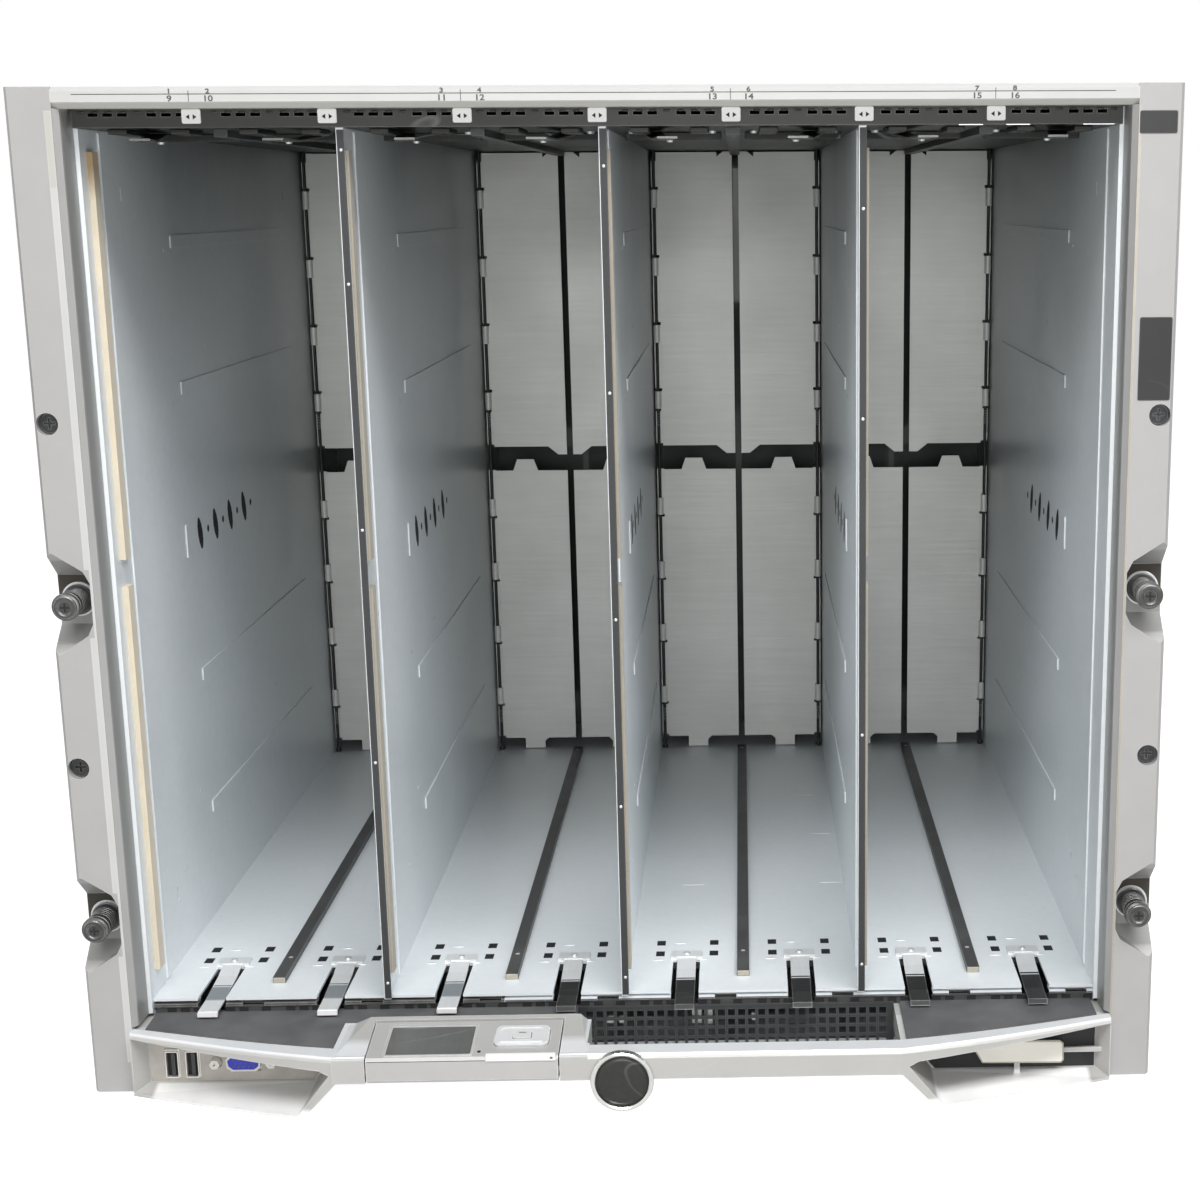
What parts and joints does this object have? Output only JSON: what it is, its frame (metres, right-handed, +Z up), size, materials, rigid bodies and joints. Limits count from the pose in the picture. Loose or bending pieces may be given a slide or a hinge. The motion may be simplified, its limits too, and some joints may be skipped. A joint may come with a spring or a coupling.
{
  "type": "blade server chassis",
  "caption": "Rack-mount enclosure for blade servers, empty: tall open bays, sprung flaps before the midplane, bowed front bezel with a tilting display, fans and supplies behind.",
  "frame": {"origin": "middle of the underside of the base pan, midway across and midway between the case's front and rear edges", "axes": "+X across to the right seen from the front, +Y from the open front to the rear, +Z up"},
  "size_m": [0.4826, 0.8282, 0.44],
  "materials": {
    "bezel_silver": "satin moulded plastic with fine silver paint",
    "galvanised": "galvanised sheet steel, fine spangle",
    "sheet_pale": "pale bright sheet steel",
    "black_steel": "black painted steel",
    "black_plastic": "black moulded plastic",
    "gasket": "woven conductive gasket cloth on foam",
    "board": "solder-masked board",
    "socket_metal": "bright tinned sheet",
    "video_blue": "blue moulded insert",
    "chrome_ring": "bright ring with a black face",
    "knurled_black": "black oxide, knurled",
    "fan_black": "glass-filled plastic",
    "module_steel": "plated sheet steel",
    "panel_silver": "satin moulded plastic",
    "key_pale": "satin moulded key"
  },
  "bodies": {
    "chassis": {"case_shell": "galvanised", "base_pan": "galvanised", "bay_floor": "sheet_pale", "bay_ceiling": "black_steel", "side_liners": "galvanised", "bay_dividers": "galvanised", "guide_rails": "black_plastic", "latch_strips": "sheet_pale", "emi_gaskets": "gasket", "hinge_rods": "sheet_pale", "midplane_board": "board", "midplane_connectors": "black_plastic", "intake_grille": "black_steel", "lip_trim": "black_plastic", "bezel_ears": "bezel_silver", "bezel_top": "bezel_silver", "bezel_lower": "bezel_silver", "rack_flanges": "galvanised", "ear_screws": "knurled_black", "port_sockets": "socket_metal", "round_badge": "chrome_ring", "rear_cage": "galvanised", "fan_frames": "fan_black", "fan_guards": "sheet_pale", "io_blanks": "module_steel", "power_supplies": "module_steel", "management_modules": "module_steel"},
    "flap_upper_1": {"flap_upper_1": "sheet_pale"},
    "flap_upper_2": {"flap_upper_2": "sheet_pale"},
    "flap_upper_3": {"flap_upper_3": "sheet_pale"},
    "flap_upper_4": {"flap_upper_4": "sheet_pale"},
    "flap_upper_5": {"flap_upper_5": "sheet_pale"},
    "flap_upper_6": {"flap_upper_6": "sheet_pale"},
    "flap_upper_7": {"flap_upper_7": "sheet_pale"},
    "flap_upper_8": {"flap_upper_8": "sheet_pale"},
    "flap_lower_1": {"flap_lower_1": "sheet_pale"},
    "flap_lower_2": {"flap_lower_2": "sheet_pale"},
    "flap_lower_3": {"flap_lower_3": "sheet_pale"},
    "flap_lower_4": {"flap_lower_4": "sheet_pale"},
    "flap_lower_5": {"flap_lower_5": "sheet_pale"},
    "flap_lower_6": {"flap_lower_6": "sheet_pale"},
    "flap_lower_7": {"flap_lower_7": "sheet_pale"},
    "flap_lower_8": {"flap_lower_8": "sheet_pale"},
    "fan_rotor_1": {"fan_rotor_1": "fan_black"},
    "fan_rotor_2": {"fan_rotor_2": "fan_black"},
    "fan_rotor_3": {"fan_rotor_3": "fan_black"},
    "fan_rotor_4": {"fan_rotor_4": "fan_black"},
    "fan_rotor_5": {"fan_rotor_5": "fan_black"},
    "fan_rotor_6": {"fan_rotor_6": "fan_black"},
    "fan_rotor_7": {"fan_rotor_7": "fan_black"},
    "fan_rotor_8": {"fan_rotor_8": "fan_black"},
    "fan_rotor_9": {"fan_rotor_9": "fan_black"},
    "thumbscrew_1": {"thumbscrew_1": "knurled_black"},
    "thumbscrew_2": {"thumbscrew_2": "knurled_black"},
    "thumbscrew_3": {"thumbscrew_3": "knurled_black"},
    "thumbscrew_4": {"thumbscrew_4": "knurled_black"},
    "lcd_panel": {"lcd_panel": "panel_silver"},
    "nav_pad": {"nav_pad": "key_pale"},
    "nav_key": {"nav_key": "key_pale"},
    "power_button": {"power_button": "key_pale"}
  },
  "joints": [
    {"name": "flap_upper_1_hinge", "type": "hinge", "parent": "chassis", "child": "flap_upper_1", "pos_m": [-0.21472, 0.06692, 0.3], "axis": [0, 0, 1], "range_deg": [0, 86], "stiffness_Nm_per_rad": 0.03, "springref_deg": -20.05},
    {"name": "flap_upper_2_hinge", "type": "hinge", "parent": "chassis", "child": "flap_upper_2", "pos_m": [-0.11228, 0.06692, 0.3], "axis": [0, 0, -1], "range_deg": [0, 86], "stiffness_Nm_per_rad": 0.03, "springref_deg": -20.05},
    {"name": "flap_upper_3_hinge", "type": "hinge", "parent": "chassis", "child": "flap_upper_3", "pos_m": [-0.10572, 0.06692, 0.3], "axis": [0, 0, 1], "range_deg": [0, 86], "stiffness_Nm_per_rad": 0.03, "springref_deg": -20.05},
    {"name": "flap_upper_4_hinge", "type": "hinge", "parent": "chassis", "child": "flap_upper_4", "pos_m": [-0.00328, 0.06692, 0.3], "axis": [0, 0, -1], "range_deg": [0, 86], "stiffness_Nm_per_rad": 0.03, "springref_deg": -20.05},
    {"name": "flap_upper_5_hinge", "type": "hinge", "parent": "chassis", "child": "flap_upper_5", "pos_m": [0.00328, 0.06692, 0.3], "axis": [0, 0, 1], "range_deg": [0, 86], "stiffness_Nm_per_rad": 0.03, "springref_deg": -20.05},
    {"name": "flap_upper_6_hinge", "type": "hinge", "parent": "chassis", "child": "flap_upper_6", "pos_m": [0.10572, 0.06692, 0.3], "axis": [0, 0, -1], "range_deg": [0, 86], "stiffness_Nm_per_rad": 0.03, "springref_deg": -20.05},
    {"name": "flap_upper_7_hinge", "type": "hinge", "parent": "chassis", "child": "flap_upper_7", "pos_m": [0.11228, 0.06692, 0.3], "axis": [0, 0, 1], "range_deg": [0, 86], "stiffness_Nm_per_rad": 0.03, "springref_deg": -20.05},
    {"name": "flap_upper_8_hinge", "type": "hinge", "parent": "chassis", "child": "flap_upper_8", "pos_m": [0.21472, 0.06692, 0.3], "axis": [0, 0, -1], "range_deg": [0, 86], "stiffness_Nm_per_rad": 0.03, "springref_deg": -20.05},
    {"name": "flap_lower_1_hinge", "type": "hinge", "parent": "chassis", "child": "flap_lower_1", "pos_m": [-0.21472, 0.06692, 0.13], "axis": [0, 0, 1], "range_deg": [0, 86], "stiffness_Nm_per_rad": 0.03, "springref_deg": -20.05},
    {"name": "flap_lower_2_hinge", "type": "hinge", "parent": "chassis", "child": "flap_lower_2", "pos_m": [-0.11228, 0.06692, 0.13], "axis": [0, 0, -1], "range_deg": [0, 86], "stiffness_Nm_per_rad": 0.03, "springref_deg": -20.05},
    {"name": "flap_lower_3_hinge", "type": "hinge", "parent": "chassis", "child": "flap_lower_3", "pos_m": [-0.10572, 0.06692, 0.13], "axis": [0, 0, 1], "range_deg": [0, 86], "stiffness_Nm_per_rad": 0.03, "springref_deg": -20.05},
    {"name": "flap_lower_4_hinge", "type": "hinge", "parent": "chassis", "child": "flap_lower_4", "pos_m": [-0.00328, 0.06692, 0.13], "axis": [0, 0, -1], "range_deg": [0, 86], "stiffness_Nm_per_rad": 0.03, "springref_deg": -20.05},
    {"name": "flap_lower_5_hinge", "type": "hinge", "parent": "chassis", "child": "flap_lower_5", "pos_m": [0.00328, 0.06692, 0.13], "axis": [0, 0, 1], "range_deg": [0, 86], "stiffness_Nm_per_rad": 0.03, "springref_deg": -20.05},
    {"name": "flap_lower_6_hinge", "type": "hinge", "parent": "chassis", "child": "flap_lower_6", "pos_m": [0.10572, 0.06692, 0.13], "axis": [0, 0, -1], "range_deg": [0, 86], "stiffness_Nm_per_rad": 0.03, "springref_deg": -20.05},
    {"name": "flap_lower_7_hinge", "type": "hinge", "parent": "chassis", "child": "flap_lower_7", "pos_m": [0.11228, 0.06692, 0.13], "axis": [0, 0, 1], "range_deg": [0, 86], "stiffness_Nm_per_rad": 0.03, "springref_deg": -20.05},
    {"name": "flap_lower_8_hinge", "type": "hinge", "parent": "chassis", "child": "flap_lower_8", "pos_m": [0.21472, 0.06692, 0.13], "axis": [0, 0, -1], "range_deg": [0, 86], "stiffness_Nm_per_rad": 0.03, "springref_deg": -20.05},
    {"name": "fan_rotor_1_spin", "type": "hinge", "parent": "chassis", "child": "fan_rotor_1", "pos_m": [-0.178, 0.332, 0.19792], "axis": [0, 1, 0], "continuous": true},
    {"name": "fan_rotor_2_spin", "type": "hinge", "parent": "chassis", "child": "fan_rotor_2", "pos_m": [-0.178, 0.332, 0.29375], "axis": [0, 1, 0], "continuous": true},
    {"name": "fan_rotor_3_spin", "type": "hinge", "parent": "chassis", "child": "fan_rotor_3", "pos_m": [-0.178, 0.332, 0.38958], "axis": [0, 1, 0], "continuous": true},
    {"name": "fan_rotor_4_spin", "type": "hinge", "parent": "chassis", "child": "fan_rotor_4", "pos_m": [0, 0.332, 0.19792], "axis": [0, 1, 0], "continuous": true},
    {"name": "fan_rotor_5_spin", "type": "hinge", "parent": "chassis", "child": "fan_rotor_5", "pos_m": [0, 0.332, 0.29375], "axis": [0, 1, 0], "continuous": true},
    {"name": "fan_rotor_6_spin", "type": "hinge", "parent": "chassis", "child": "fan_rotor_6", "pos_m": [0, 0.332, 0.38958], "axis": [0, 1, 0], "continuous": true},
    {"name": "fan_rotor_7_spin", "type": "hinge", "parent": "chassis", "child": "fan_rotor_7", "pos_m": [0.178, 0.332, 0.19792], "axis": [0, 1, 0], "continuous": true},
    {"name": "fan_rotor_8_spin", "type": "hinge", "parent": "chassis", "child": "fan_rotor_8", "pos_m": [0.178, 0.332, 0.29375], "axis": [0, 1, 0], "continuous": true},
    {"name": "fan_rotor_9_spin", "type": "hinge", "parent": "chassis", "child": "fan_rotor_9", "pos_m": [0.178, 0.332, 0.38958], "axis": [0, 1, 0], "continuous": true},
    {"name": "thumbscrew_1_turn", "type": "hinge", "parent": "chassis", "child": "thumbscrew_1", "pos_m": [-0.23255, -0.381, 0.0803], "axis": [0, 1, 0], "continuous": true},
    {"name": "thumbscrew_2_turn", "type": "hinge", "parent": "chassis", "child": "thumbscrew_2", "pos_m": [-0.23255, -0.381, 0.22635], "axis": [0, 1, 0], "continuous": true},
    {"name": "thumbscrew_3_turn", "type": "hinge", "parent": "chassis", "child": "thumbscrew_3", "pos_m": [0.23255, -0.381, 0.0803], "axis": [0, 1, 0], "continuous": true},
    {"name": "thumbscrew_4_turn", "type": "hinge", "parent": "chassis", "child": "thumbscrew_4", "pos_m": [0.23255, -0.381, 0.22635], "axis": [0, 1, 0], "continuous": true},
    {"name": "lcd_panel_tilt", "type": "hinge", "parent": "chassis", "child": "lcd_panel", "pos_m": [-0.069, -0.4186, 0.0224], "axis": [1, 0, 0], "range_deg": [0, 90]},
    {"name": "nav_pad_press", "type": "slide", "parent": "lcd_panel", "child": "nav_pad", "axis": [0, 0.1376, -0.9905], "range_m": [0, 0.0006], "stiffness_N_per_m": 600, "springref_m": -0.0006},
    {"name": "nav_key_press", "type": "slide", "parent": "nav_pad", "child": "nav_key", "axis": [0, 0.1376, -0.9905], "range_m": [0, 0.0006], "stiffness_N_per_m": 500, "springref_m": -0.0006},
    {"name": "power_button_press", "type": "slide", "parent": "chassis", "child": "power_button", "axis": [0, 1, 0], "range_m": [0, 0.0015], "stiffness_N_per_m": 500, "springref_m": -0.0012}
  ]
}
